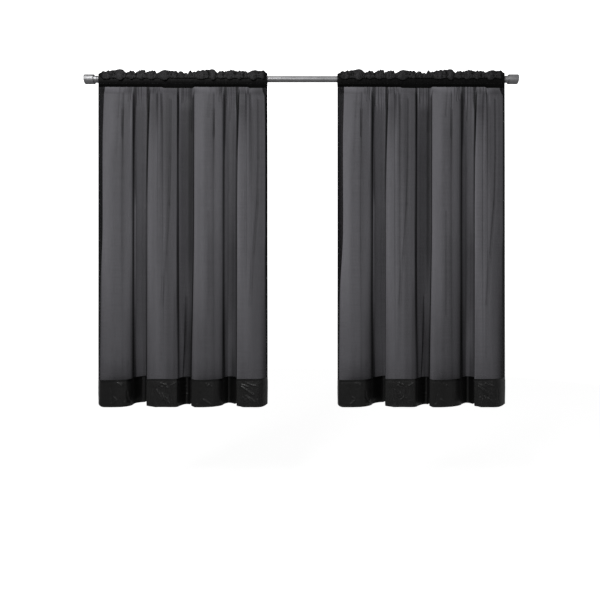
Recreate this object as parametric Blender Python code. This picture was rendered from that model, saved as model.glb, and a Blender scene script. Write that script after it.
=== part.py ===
"""Pair of sheer voile rod-pocket curtain panels, gathered on one round metal rod.

Units are metres, +Z is up and the viewer stands at -Y. The origin is on the rod's
axis at mid-span. Each panel is one sheet: a deep hem, hanging folds, a pocket round
the rod and a ruffled heading that stands above it.
"""

import math

import bmesh
import bpy

MM = 0.001

# Rod and finials
ROD_RADIUS = 0.0143
ROD_WALL = 0.0010
ROD_HALF_LENGTH = 0.9970
FIT_GAP = 0.0003
FINIAL_RADIUS = 0.0223
FINIAL_START = 0.9925
FINIAL_END = 1.0380
FINIAL_EDGE = 0.0015
COLLAR_RADIUS = 0.0162
COLLAR_LENGTH = 0.0150
COLLAR_EDGE = 0.0008
ROUND_STEPS = 28

# Cloth
SHEET = 0.0012
HEM_SHEET = 0.0022
HEM_DEPTH = 0.125
SIDE_HEM = 0.025
HEM_BOTTOM = -1.559
POCKET_BOTTOM = -0.0345
COLUMN_PITCH = 0.021

# Each panel: where the tables' zero lies along the rod, and how wide their PATTERN_WIDTH is
PANELS = {
    "panel_left": (-0.9713, 0.8064),
    "panel_right": (0.1764, 0.7980),
}
PATTERN_WIDTH = 806  # mm

# The folds in plan, from the free left edge to the free right edge, in mm: place along the
# rod, and how far behind the foremost fold, each just under the pocket, at MIDWAY and at
# the hem.
MIDWAY = 0.4  # share of the drop
FOLDS = (
    # x_top, x_mid, x_low, back_top, back_mid, back_low
    (-3, -3, -2, 10, 22, 62),  # left side hem, turned back
    (3, 3, -1.5, 8, 14, 42),
    (16, 13, 1.5, 4, 3, 12),
    (22, 17, 5, 2, 1, 4),
    (28, 24, 14, 0, 0, 0),
    (42, 36, 28, -1, -1, -2),  # first broad fold
    (66, 64, 62, 0, -2, -3),
    (100, 100, 100, 2, 1, 1),
    (109, 107, 110, 4, 3, 4),
    (113, 111, 115, 10, 7, 7),  # soft crease that fades downward
    (119, 117, 120, 4, 5, 8),
    (134, 133, 132, 5, 9, 15),
    (149, 149, 146, 8, 16, 28),
    (157, 156, 153, 11, 24, 37),
    (161, 161, 158, 13, 31, 46),
    (165, 164, 162, 18, 40, 57),
    (169, 168, 165.5, 27, 57, 71),  # steep side of the fold
    (174, 172, 169, 31, 66, 84),
    (184, 184, 182, 33, 78, 102),
    (208, 208, 206, 34, 93, 119),  # back of the recess
    (220, 220, 218, 35, 97, 122),
    (232, 226, 225, 35, 98, 121),
    (241, 230, 228.8, 34, 96, 117),
    (243.7, 230.8, 229.1, 31, 90, 110),
    (245.2, 231.3, 229.6, 8, 12, 12),  # sharp left edge of the second broad fold
    (246.4, 232.2, 230.4, 3, 6, 6),
    (249, 235.5, 233.5, 1, 3, 3),
    (264, 254, 252, 0, 1, 1),
    (277, 280, 280, 2, 0, -1),
    (281.5, 286, 287, 9, 3, 0),  # two short creases that meet lower down
    (287, 291, 293, 1, 1, 1),
    (293, 297, 301, 2, 1, 1),
    (298, 303, 308, 9, 4, 1),
    (305, 309, 316, 2, 1, 1),
    (330, 330, 330, 3, 1, 0),
    (350, 350, 348, 4, 2, -1),
    (370, 370, 371, 8, 7, 3),
    (375, 374, 376, 12, 12, 8),
    (379, 378, 380.5, 20, 22, 16),
    (384, 382, 384.5, 29, 36, 29),  # steep side of the fold
    (400, 400, 401, 32, 53, 53),
    (413, 413, 411, 33, 58, 66),
    (427, 427, 421, 34, 61, 72),  # back of the recess
    (440, 440, 432, 33, 61, 70),
    (448, 449, 439, 31, 57, 63),
    (453, 453, 442, 28, 52, 55),
    (455.6, 454.8, 444, 21, 44, 47),
    (456.6, 455.4, 444.7, 5, 7, 7),  # sharp left edge of the third broad fold
    (458, 456.6, 446, 1, 3, 3),
    (462, 460, 450, 0, 1, 0),
    (470, 468, 461, -1, 0, -3),
    (500, 500, 496, 0, -1, -4),
    (522, 520, 520, 1, 0, 0),
    (546, 545, 546, 4, 6, 9),
    (550, 550, 552, 11, 11, 12),  # soft crease that fades downward
    (555, 555, 557, 5, 9, 14),
    (567, 567, 566, 6, 13, 20),
    (579, 579, 578, 9, 19, 29),
    (589, 588, 587, 12, 27, 39),
    (594, 593, 591.5, 15, 34, 46),
    (598, 596.5, 595, 21, 43, 57),
    (603, 600, 598.5, 29, 57, 69),  # steep side of the fold
    (608, 604, 603, 32, 66, 82),
    (628, 626, 622, 34, 82, 104),  # deepest point of the last recess
    (642, 638, 635, 34, 80, 100),
    (654, 648, 645, 32, 74, 88),
    (664, 655.5, 654, 29, 66, 75),
    (671, 660.8, 659.8, 25, 58, 64),
    (673.4, 661.7, 660.7, 20, 50, 55),
    (674.6, 662.4, 661.3, 5, 8, 7),  # sharp left edge of the fourth broad fold
    (676, 663.5, 662.6, 2, 4, 3),
    (680, 669, 668, 1, 2, 2),
    (688, 680, 682, 0, 1, 1),
    (704, 705, 706, 1, 0, -3),
    (708.5, 711, 712, 9, 3, -3),
    (713, 716, 719, 1, 0, -3),
    (720, 722, 728, 2, 1, -3),
    (725, 729, 736, 9, 3, -3),
    (731, 735, 742, 2, 1, -3),
    (748, 748, 750, 3, 1, -4),
    (764, 764, 764, 4, 2, -2),
    (786, 785, 784, 8, 7, 11),
    (794, 794, 792, 10, 11, 23),
    (801, 801, 799.5, 14, 18, 38),
    (806, 806.5, 805.5, 22, 28, 54),
    (808.4, 809.3, 809.3, 30, 38, 71),  # right side hem, turned back
)

# The ruffled heading's top edge: place along the rod, and height above its axis, in mm.
RUFFLE = (
    # x, top
    (0, 21),
    (16, 29),
    (44, 33),
    (81, 39),
    (99, 40),
    (114, 40),
    (123, 33),
    (133, 24),
    (156, 35),
    (166, 33),
    (175, 24),
    (190, 33),
    (208, 39),
    (220, 38),
    (225, 24),
    (240, 33),
    (269, 35),
    (275, 23),
    (307, 35),
    (329, 38),
    (350, 34),
    (374, 33),
    (381, 25),
    (392, 33),
    (408, 23),
    (426, 21),
    (440, 36),
    (447, 27),
    (460, 30),
    (504, 38),
    (542, 41),
    (556, 38),
    (570, 24),
    (585, 34),
    (603, 30),
    (643, 39),
    (662, 32),
    (696, 34),
    (714, 27),
    (754, 38),
    (772, 33),
    (790, 35),
    (806, 24),
)
RUFFLE_LOW = 0.020  # top edge where the ruffle is flat against the back
RUFFLE_HIGH = 0.040  # top edge where it puffs most

GATHER_FADE = 0.045  # below the pocket, the height over which folds leave the rod's line
MIDDLE = (0.014, 0.050, 0.0625)  # the folds' depth that hangs under the rod, from top to hem
FAN_DISTANCE = 2.5  # folds lean outward, away from mid-span, by depth over this distance

# The pocket and heading in section: y behind the rod's axis, height, and how far a
# puff pushes the point forward. Front layer, from the pocket's lower seam to the top.
FRONT_LAYER = (
    # y, z, puff
    (-0.0085, -0.0275, 0.000),
    (-0.0150, -0.0150, 0.000),
    (-0.0168, -0.0065, 0.000),  # line under the puffs
    (-0.0190, -0.0015, 0.005),
    (-0.0195, 0.0075, 0.008),
    (-0.0185, 0.0148, 0.007),
    (-0.0170, 0.0164, 0.006),
)
FRONT_ABOVE_SEAM = 6  # index of the first front point above the upper seam
BACK_LAYER = (
    # y, z
    (0.0085, -0.0275),
    (0.0152, -0.0140),
    (0.0170, -0.0010),
    (0.0158, 0.0100),
    (0.0148, 0.0148),
    (0.0138, 0.0164),
)
BACK_ABOVE_SEAM = 5
SEAM_TOP = 0.0164
POCKET_CROTCH = 0.0018  # the pocket's lowest inner line, above its lower seam
HEADING_RISE = 0.6  # the heading's middle points stand this far up its height
HEADING_DEPTH = 0.0085  # and this far before and behind the rod's axis
HEADING_PUFF = 0.0055  # a puff pushes the front ones this much further
APEX_LEAN = 0.002  # a puff leans the top edge forward by this much
HOLLOW_RISE = 0.7  # the hollow ends this far from the middle points to the top edge

# Heights of the rows of points down the sheet, between the pocket and the hem
SHEET_HEIGHTS = (-0.048, -0.064, -0.095, -0.16, -0.29, -0.48, -0.73, -1.0, -1.24)

CURVE_HOLD = 0.25
CURVE_SLACK = 0.001
SMOOTH_UNDER = math.radians(50)

VOILE_COLOUR = (0.030, 0.030, 0.034, 1.0)
METAL_COLOUR = (0.36, 0.36, 0.38, 1.0)


def remove_everything():
    """Clears the scene's objects."""
    for thing in list(bpy.data.objects):
        bpy.data.objects.remove(thing, do_unlink=True)


def material(name, colour, roughness, metallic):
    """A plain Principled material."""
    made = bpy.data.materials.new(name)
    made.use_nodes = True
    shader = made.node_tree.nodes["Principled BSDF"]
    shader.inputs["Base Color"].default_value = colour
    shader.inputs["Roughness"].default_value = roughness
    shader.inputs["Metallic"].default_value = metallic
    return made


def add_object(name, bm, finish):
    """Makes an object of a bmesh, with its faces pointing out and round stretches smooth."""
    bmesh.ops.recalc_face_normals(bm, faces=bm.faces)
    mesh = bpy.data.meshes.new(name)
    bm.to_mesh(mesh)
    bm.free()
    mesh.shade_smooth()
    mesh.set_sharp_from_angle(angle=SMOOTH_UNDER)
    mesh.materials.append(finish)
    thing = bpy.data.objects.new(name, mesh)
    bpy.context.scene.collection.objects.link(thing)
    return thing


def read_table(rows, at):
    """Reads the second column of a two-column table at a value of the first."""
    for (x0, y0), (x1, y1) in zip(rows, rows[1:]):
        if at <= x1:
            return mix(y0, y1, max(0.0, (at - x0) / (x1 - x0)))
    return rows[-1][1]


def mix(a, b, share):
    """The value that lies this share of the way from a to b."""
    return a + (b - a) * share


def smooth(share):
    """Eases a share in and out, and holds it between 0 and 1."""
    share = min(1.0, max(0.0, share))
    return share * share * (3.0 - 2.0 * share)


# Rod and finials


def turned(name, profile, finish):
    """Turns a closed outline of (x, radius) points about the X axis."""
    bm = bmesh.new()
    rings = []
    for x, radius in profile:
        if radius == 0.0:
            rings.append([bm.verts.new((x, 0.0, 0.0))])
            continue
        ring = []
        for step in range(ROUND_STEPS):
            angle = 2.0 * math.pi * step / ROUND_STEPS
            ring.append(bm.verts.new((x, radius * math.cos(angle), radius * math.sin(angle))))
        rings.append(ring)
    closed = all(radius > 0.0 for _, radius in profile)
    pairs = list(zip(rings, rings[1:]))
    if closed:
        pairs.append((rings[-1], rings[0]))
    for first, second in pairs:
        for step in range(ROUND_STEPS):
            after = (step + 1) % ROUND_STEPS
            if len(first) == 1:
                bm.faces.new((first[0], second[step], second[after]))
            elif len(second) == 1:
                bm.faces.new((first[step], second[0], first[after]))
            else:
                bm.faces.new((first[step], second[step], second[after], first[after]))
    return add_object(name, bm, finish)


def build_rod(finish):
    """The plain round tube that both panels hang on."""
    inner = ROD_RADIUS - ROD_WALL
    profile = (
        (-ROD_HALF_LENGTH, inner),
        (-ROD_HALF_LENGTH, ROD_RADIUS),
        (ROD_HALF_LENGTH, ROD_RADIUS),
        (ROD_HALF_LENGTH, inner),
    )
    return turned("rod", profile, finish)


def build_finial(name, side, finish):
    """A cylindrical cap whose collar slips over the rod's end."""
    bore = ROD_RADIUS + FIT_GAP
    mouth = FINIAL_START - COLLAR_LENGTH
    profile = (
        (ROD_HALF_LENGTH + FIT_GAP, 0.0),
        (ROD_HALF_LENGTH + FIT_GAP, bore),
        (mouth, bore),
        (mouth, COLLAR_RADIUS - COLLAR_EDGE),
        (mouth + COLLAR_EDGE, COLLAR_RADIUS),
        (FINIAL_START, COLLAR_RADIUS),
        (FINIAL_START, FINIAL_RADIUS - FINIAL_EDGE),
        (FINIAL_START + FINIAL_EDGE, FINIAL_RADIUS),
        (FINIAL_END - FINIAL_EDGE, FINIAL_RADIUS),
        (FINIAL_END, FINIAL_RADIUS - FINIAL_EDGE),
        (FINIAL_END, 0.0),
    )
    return turned(name, [(side * x, radius) for x, radius in profile], finish)


# Panels


def fold_columns(width):
    """The panel's columns from one free edge to the other, each a row of the fold table in
    metres. Wide gaps in the table get columns between, on a smooth curve."""
    scale = width / (PATTERN_WIDTH * MM)
    rows = []
    for row in FOLDS:
        rows.append((*(x * MM * scale for x in row[:3]), *(back * MM for back in row[3:])))
    columns = [rows[0]]
    for i in range(len(rows) - 1):
        before = rows[max(i - 1, 0)]
        here = rows[i]
        ahead = rows[i + 1]
        after = rows[min(i + 2, len(rows) - 1)]
        steps = max(1, round((ahead[0] - here[0]) / COLUMN_PITCH))
        for step in range(1, steps):
            share = step / steps
            columns.append([curve(*four, share) for four in zip(before, here, ahead, after)])
        columns.append(ahead)
    return columns


def curve(before, here, ahead, after, share):
    """A value between here and ahead. The middle of a Catmull-Rom curve lies a sixteenth of
    the sum below off the chord. It is held near the chord, so that sharp edges stay sharp."""
    swell = (here + ahead - before - after) / 16.0
    most = abs(ahead - here) * CURVE_HOLD + CURVE_SLACK
    swell = min(most, max(-most, swell))
    return mix(here, ahead, share) + swell * 4.0 * share * (1.0 - share)


def between(top, mid, low, drop):
    """A value at a share of the drop, from its values at the top, at MIDWAY and low down."""
    above = 1.0 - min(1.0, drop / MIDWAY)
    upper = mix(mid, top, above * above)
    return mix(upper, low, smooth((drop - MIDWAY) / (1.0 - MIDWAY)))


def plan_point(column, height):
    """The sheet's middle (x, y) for one column at one height below the pocket."""
    drop = (POCKET_BOTTOM - height) / (POCKET_BOTTOM - HEM_BOTTOM)
    leave = smooth((POCKET_BOTTOM - height) / GATHER_FADE)
    y = leave * (between(*column[3:], drop) - between(*MIDDLE, drop))
    return between(*column[:3], drop), y


def sheet_rows(columns, left):
    """The sheet below the pocket, from the hem up: at each height, a front and a back point
    for each column."""
    hem_top = HEM_BOTTOM + HEM_DEPTH
    heights = [POCKET_BOTTOM, *SHEET_HEIGHTS, hem_top + HEM_SHEET, hem_top, HEM_BOTTOM]
    rows = []
    for height in reversed(heights):
        points = []
        for column in columns:
            x, y = plan_point(column, height)
            points.append(((x + left) * (1.0 + y / FAN_DISTANCE), y))
        row = []
        for i, (x, y) in enumerate(points):
            x0, y0 = points[max(i - 1, 0)]
            x1, y1 = points[min(i + 1, len(points) - 1)]
            length = math.hypot(x1 - x0, y1 - y0)
            side = min(columns[i][0], columns[-1][0] - columns[i][0])
            half = (HEM_SHEET if height <= hem_top or side < SIDE_HEM else SHEET) / 2.0
            nx = (y1 - y0) / length * half
            ny = -(x1 - x0) / length * half
            row.append(((x + nx, y + ny, height), (x - nx, y - ny, height)))
        rows.append(row)
    return rows


def offset_inward(line, level):
    """The points of a section line moved by the sheet's thickness towards the rod's axis.
    Those in level, at the upper seam, keep their height, so that the seam clears the rod."""
    moved = []
    for i, (y, z) in enumerate(line):
        y0, z0 = line[max(i - 1, 0)]
        y1, z1 = line[min(i + 1, len(line) - 1)]
        length = math.hypot(y1 - y0, z1 - z0)
        ny = -(z1 - z0) / length
        nz = (y1 - y0) / length
        if ny * y + nz * z > 0.0:
            ny = -ny
            nz = -nz
        if i in level:
            nz = 0.0
        moved.append((y + ny * SHEET, z + nz * SHEET))
    return moved


def layer_lines(layer, middle, apex, above_seam):
    """One layer of pocket and heading in section: its outer line and its inner line."""
    outer = [*layer, middle]
    inner = offset_inward([*outer, apex], (above_seam - 1, above_seam))
    return outer, inner[:-1]


def column_section(bm, x, top, sheet_front, sheet_back):
    """One column of the cloth, where the ruffle's top edge is at the height top: its outer
    loop, the loops of its two hollows, and the faces that close it at a free edge."""
    puff = smooth((top - RUFFLE_LOW) / (RUFFLE_HIGH - RUFFLE_LOW))
    middle = mix(SEAM_TOP, top, HEADING_RISE)
    apex = (-APEX_LEAN * puff, top)
    inner_apex = (apex[0], mix(middle, top, HOLLOW_RISE))
    front = [(y - push * puff, z) for y, z, push in FRONT_LAYER]
    front_middle = (-HEADING_DEPTH - HEADING_PUFF * puff, middle)
    lines = (
        *layer_lines(front, front_middle, apex, FRONT_ABOVE_SEAM),
        *layer_lines(BACK_LAYER, (HEADING_DEPTH, middle), apex, BACK_ABOVE_SEAM),
        (apex, inner_apex, (0.0, POCKET_BOTTOM + POCKET_CROTCH)),
    )
    placed = [[bm.verts.new((x, y, z)) for y, z in line] for line in lines]
    front, inner_front, back, inner_back, (apex, inner_apex, crotch) = placed
    low = (inner_front[:FRONT_ABOVE_SEAM], inner_back[:BACK_ABOVE_SEAM])
    high = (inner_front[FRONT_ABOVE_SEAM:], inner_back[BACK_ABOVE_SEAM:])
    loops = (
        [*sheet_front, *front, apex, *reversed(back), *reversed(sheet_back)],
        [crotch, *low[0], *reversed(low[1])],
        [*high[0], inner_apex, *reversed(high[1])],
    )
    walls = (
        (sheet_front, sheet_back),
        ([sheet_front[-1], *front, apex], [crotch, *inner_front, inner_apex]),
        ([sheet_back[-1], *back, apex], [crotch, *inner_back, inner_apex]),
    )
    joins = (
        (sheet_front[-1], sheet_back[-1], crotch),
        (low[0][-1], high[0][0], high[1][0], low[1][-1]),
    )
    return loops, walls, joins


def build_panel(name, left, width, finish):
    """One curtain panel as a single closed sheet with two through tunnels: the rod's
    pocket and the hollow of the ruffled heading."""
    columns = fold_columns(width)
    rows = sheet_rows(columns, left)
    pattern = width / (PATTERN_WIDTH * MM)
    bm = bmesh.new()
    sections = []
    for i, column in enumerate(columns):
        top = read_table(RUFFLE, column[0] / MM / pattern) * MM
        sheet_front = [bm.verts.new(row[i][0]) for row in rows]
        sheet_back = [bm.verts.new(row[i][1]) for row in rows]
        sections.append(column_section(bm, left + column[0], top, sheet_front, sheet_back))
    for (loops, _, _), (next_loops, _, _) in zip(sections, sections[1:]):
        for one, other in zip(loops, next_loops):
            bridge(bm, one, other)
    for _, walls, joins in (sections[0], sections[-1]):
        for one, other in walls:
            ladder(bm, one, other)
        for corners in joins:
            bm.faces.new(corners)
    return add_object(name, bm, finish)


def bridge(bm, one, other):
    """Joins one closed loop of points to the next with a band of faces."""
    for i in range(len(one)):
        j = (i + 1) % len(one)
        bm.faces.new((one[i], one[j], other[j], other[i]))


def ladder(bm, one, other):
    """Closes a sheet's end: faces between two lines of points, side by side."""
    for i in range(len(one) - 1):
        bm.faces.new((one[i], one[i + 1], other[i + 1], other[i]))


def build():
    """Builds the whole part."""
    remove_everything()
    metal = material("brushed metal", METAL_COLOUR, 0.35, 0.9)
    voile = material("charcoal voile", VOILE_COLOUR, 0.8, 0.0)
    build_rod(metal)
    build_finial("finial_left", -1.0, metal)
    build_finial("finial_right", 1.0, metal)
    for name, (left, width) in PANELS.items():
        build_panel(name, left, width, voile)


build()
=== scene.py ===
"""The looks of two sheer voile curtain panels, gathered on one round metal rod.

Units are metres, +Z is up and the viewer stands at -Y. The origin is on the rod's axis
at mid-span. Each panel is a thin sheet with folds and creases from the photo, a ruffled
heading over a rod pocket, a deep bottom hem, turned side hems and rows of stitches.
"""

import math

import bpy
import numpy as np
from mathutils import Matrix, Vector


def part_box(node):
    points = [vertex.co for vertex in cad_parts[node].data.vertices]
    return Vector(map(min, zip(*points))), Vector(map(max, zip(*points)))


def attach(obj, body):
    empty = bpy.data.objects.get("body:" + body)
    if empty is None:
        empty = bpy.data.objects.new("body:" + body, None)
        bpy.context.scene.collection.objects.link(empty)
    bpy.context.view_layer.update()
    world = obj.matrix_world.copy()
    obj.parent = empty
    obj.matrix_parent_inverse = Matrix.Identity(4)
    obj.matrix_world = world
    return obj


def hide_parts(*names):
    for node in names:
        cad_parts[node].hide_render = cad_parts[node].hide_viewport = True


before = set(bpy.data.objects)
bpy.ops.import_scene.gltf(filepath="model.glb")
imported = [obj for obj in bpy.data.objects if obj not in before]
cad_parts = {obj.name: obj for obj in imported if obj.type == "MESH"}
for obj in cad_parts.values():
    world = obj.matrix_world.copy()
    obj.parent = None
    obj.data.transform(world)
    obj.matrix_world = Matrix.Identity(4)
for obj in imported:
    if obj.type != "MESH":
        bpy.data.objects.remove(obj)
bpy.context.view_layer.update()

MM = 0.001
PER_MILLE = 0.001
ROOT = "root"

# The photograph's view: one pixel is this wide at the rod's plane
PIXEL = 0.0048
PHOTO_WIDTH = 600
CAMERA_PLACE = (-0.006, -2.5, -1.0594)
SENSOR = 36.0  # mm
FLOOR_HEIGHT = -2.05
FLOOR_RADIUS = 5.0

# Cloth, as in the solids
HEM_DEPTH = 0.125
SIDE_HEM = 0.025
HEM_BOTTOM = -1.559
HEM_TOP = HEM_BOTTOM + HEM_DEPTH
POCKET_BOTTOM = -0.0345
PANELS = {"left": (-0.9713, 0.8064), "right": (0.1764, 0.7980)}  # left edge, width
PATTERN_WIDTH = 0.806
GATHER_FADE = 0.045  # the folds grow to their full depth over this drop
# How far the sheet's middle is behind the foremost fold: at the top, at MIDWAY, at the hem
MIDDLE = (0.014, 0.050, 0.0625)
FAN_DISTANCE = 2.5  # from where the folds seem to fan out
FINISHED_WIDTH = 1.37  # one panel laid flat

VOILE_SHEET = 0.00035
HEM_SHEET = 0.0011
HEADING_SHEET = 0.0007
SIDE_HEM_SHEET = 0.0008
COLUMN_PITCH = 0.0026
HEADING_PITCH = 0.0021
ROW_TABLE = (
    # down from the pocket, spacing of the rows there
    (0, 0.004), (0.04, 0.006), (0.12, 0.011), (0.3, 0.018), (0.7, 0.024), (1.4, 0.024),
)
FACING = 0.6  # cloth turned further from the viewer than this is smooth
FIRM_EDGE = 0.045  # and so is cloth this near to a free edge, where the side hem is
TUCK_HIGH = 0.002  # the sheet reaches this far up behind the pocket
TUCK_LOW = 0.0015  # and this far down behind the hem
SHEER_NOISE = (
    # width, height and seed, depth, fades in over this far down
    ((0.09, 0.34, 11), 0.0011, 0.2),
    ((0.022, 0.12, 12), 0.00025, 0.05),
)
HEM_ROW = 0.0025
HEM_DROP = 0.0018  # the bottom edge hangs this much below the solid's
SEAM_DENT = 0.0005  # the stitches draw the hem in
SEAM_PLACE = (0.008, 0.004)  # this far below its upper line, half width
EDGE_RIDGE = 0.0006
EDGE_WIDTH = 0.004
HEM_CRUMPLE = (0.020, 0.026, 21)  # width, height and seed
HEM_CRUMPLE_DEPTH = 0.00045
HEM_SWAY = (0.06, 0.07, 23)
HEM_SWAY_DEPTH = 0.0010
HEM_FIRM = 0.012  # the hem is smooth this near to its lines of stitches and its edge
HEM_CREASE_DEPTH = 1.35 * MM
HEM_BEND = 0.0024  # how far its wrinkles wander from straight
BENDS = ((0.013, 0.013, 24), (0.013, 0.013, 25))  # width, height and seed of that
SIDE_HEM_IN = 0.0004  # a side hem begins this far in from the sheet's edge
SIDE_COLUMNS = 11
BEHIND = 0.55  # share of both thicknesses between a side hem's middle and the sheet's

# The folds in plan, from the free left edge to the free right edge, in mm: place along the
# rod, and how far behind the foremost fold, each just under the pocket, at MIDWAY and at
# the hem.
MIDWAY = 0.4  # share of the drop
FOLDS = (
    # x_top, x_mid, x_low, back_top, back_mid, back_low
    (-3, -3, -2, 10, 22, 62),  # left side hem, turned back
    (3, 3, -1.5, 8, 14, 42), (10, 8, -0.5, 6, 8, 26), (16, 13, 1.5, 4, 3, 12),
    (22, 17, 5, 2, 1, 4), (28, 24, 14, 0, 0, 0),
    (42, 36, 28, -1, -1, -2),  # first broad fold
    (66, 64, 62, 0, -2, -3), (100, 100, 100, 2, 1, 1), (112, 108, 110, 4, 2.5, 3),
    (117, 112, 115, 8, 5, 5.5),  # soft crease that fades downward
    (122, 117, 120, 4, 5, 8), (134, 133, 132, 5, 9, 15), (149, 149, 146, 8, 16, 28),
    (157, 156, 153, 11, 24, 37), (160, 160, 158, 13, 31, 46), (164, 164.5, 162, 18, 40, 57),
    (168.5, 169.5, 166, 27, 57, 71),  # steep side of the fold
    (174, 175, 170, 31, 66, 84), (184, 184, 182, 33, 78, 102),
    (208, 208, 206, 34, 93, 119),  # back of the recess
    (220, 220, 218, 35, 97, 122), (232, 226, 225, 35, 98, 121), (241, 230, 228.8, 34, 96, 117),
    (243.7, 230.8, 228.7, 31, 90, 110),
    (245.2, 231.3, 229.2, 8, 8, 8),  # sharp left edge of the second broad fold
    (246.4, 231.9, 229.8, 3, 4, 3.5), (249, 234, 232, 1, 2.5, 2.5), (256, 242, 240, 0, 2, 2),
    (264, 254, 252, 0, 1, 1), (275, 272, 274, 2, 0, -1),
    (279.5, 278, 282, 9, 3, 0),  # two short creases that meet lower down
    (285, 284, 290, 1, 1, 1), (293, 297, 301, 2, 1, 1), (298, 303, 308, 9, 4, 1),
    (305, 309, 316, 2, 1, 1), (330, 330, 330, 3, 1, 0), (350, 350, 348, 4, 2, -1),
    (362, 361, 362, 6, 4, 0), (370.5, 370, 371.5, 8, 7, 3), (375.5, 375, 377, 12, 12, 8),
    (379.5, 379, 381.5, 20, 22, 16),
    (384.5, 384, 386.5, 29, 36, 29),  # steep side of the fold
    (400, 400, 401, 32, 53, 53), (413, 413, 411, 33, 58, 66),
    (427, 427, 421, 34, 61, 72),  # back of the recess
    (440, 440, 431, 33, 61, 70), (448, 449, 438, 31, 57, 63), (453, 453, 441, 28, 52, 55),
    (455.4, 454.6, 443, 21, 44, 47),
    (456.2, 455.1, 443.6, 3, 5, 5),  # sharp left edge of the third broad fold
    (457.6, 456.2, 445, 0.5, 1.5, 1.5), (462, 460, 449.5, -0.5, 0.5, 0),
    (470, 468, 461, -1, 0, -3), (500, 500, 496, 0, -1, -4), (522, 520, 520, 1, 0, 0),
    (548, 546, 547, 4, 5, 8),
    (552, 550.5, 552, 8.5, 8, 10.5),  # soft crease that fades downward
    (557, 555, 557, 5, 9, 14), (567, 567, 566, 6, 13, 20), (579, 579, 578, 9, 19, 29),
    (589, 588, 587, 12, 27, 39), (593, 592, 591, 15, 34, 46), (598, 596.5, 595, 21, 43, 57),
    (603, 601.5, 599, 29, 57, 69),  # steep side of the fold
    (609, 607, 604, 32, 66, 82), (618, 616, 613, 33, 76, 95),
    (628, 626, 622, 34, 82, 104),  # deepest point of the last recess
    (642, 638, 635, 34, 80, 100), (654, 648, 645, 32, 74, 88), (664, 655.5, 654, 29, 66, 75),
    (671, 660.8, 659.8, 25, 58, 64), (673.4, 661.7, 660.7, 20, 50, 55),
    (674.6, 662.4, 661.3, 5, 6, 5),  # sharp left edge of the fourth broad fold
    (676, 663.1, 662, 2, 2.5, 2), (680, 667, 666, 1, 1.5, 1.5), (688, 680, 682, 0, 1, 1),
    (702, 698, 700, 1, 0, -3), (706.5, 704, 706, 9, 3, -3), (711.5, 710, 714, 1, 0, -3),
    (720, 722, 728, 2, 1, -3), (724.5, 729, 736, 9, 3, -3), (731, 735, 742, 2, 1, -3),
    (748, 748, 750, 3, 1, -4), (764, 764, 764, 4, 2, -2), (777, 776, 775, 6, 4, 3),
    (786, 785, 784, 8, 7, 11), (794, 794, 792, 10, 11, 23), (801, 801, 799.5, 14, 18, 38),
    (806, 806.5, 805.5, 22, 28, 54),
    (808.4, 809.3, 809.3, 30, 38, 71),  # right side hem, turned back
)

# Where the pocket's lower seam hangs, along the rod, in mm
POCKET_LOW = (
    # x, height
    (0, -36), (180, -36.2), (236, -36.5), (244, -37.2), (302, -37), (312, -41.2), (448, -41.6),
    (458, -36), (600, -36.2), (712, -36.6), (722, -40.8), (806, -40.6),
)
# How far the bottom edge is drawn up at the folds' corners, in mm
HEM_LIFT = (
    # x, rise
    (0, 8), (5, 5.5), (10, 3), (16, 1), (22, 0), (222, 0), (229, 6), (236, 4.5), (247, 3),
    (258, 2), (270, 0), (436, 0), (443, 6.5), (448, 4.5), (453, 2), (460, 0), (654, 0), (661, 6),
    (667, 4), (677, 3), (690, 0), (780, 0), (795, 1.5), (806, 4),
)
# How much higher or lower than its mean the hem's upper line runs, in mm
HEM_LINE = (
    # x, rise
    (0, 0), (150, 0.5), (185, 0), (232, 4), (250, 5), (370, 5), (400, 6), (440, 6), (460, 1.5),
    (590, 1.5), (620, 2.5), (668, 5), (806, 6),
)

RIPPLE_END = 0.25  # share of a group of ripples over which it fades at each side
RIPPLE_RISE = 0.006  # the ripples rise from the pocket over this drop
RIPPLE_START = 0.35
UNEVEN = 0.03  # how uneven their widths are
# Small gathers that fan out under the pocket, in mm
RIPPLES = (
    # x from, x to, waves, depth, reach down
    (0, 26, 2, 1.2, 40), (120, 166, 4, 2.2, 46), (171, 236, 5, 3.4, 80), (240, 300, 4, 1.8, 50),
    (383, 455, 5, 2.8, 70), (556, 598, 4, 2.2, 46), (604, 668, 5, 3.2, 80),
    (676, 732, 4, 1.8, 50), (790, 806, 1, 1.2, 50),
)
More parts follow.
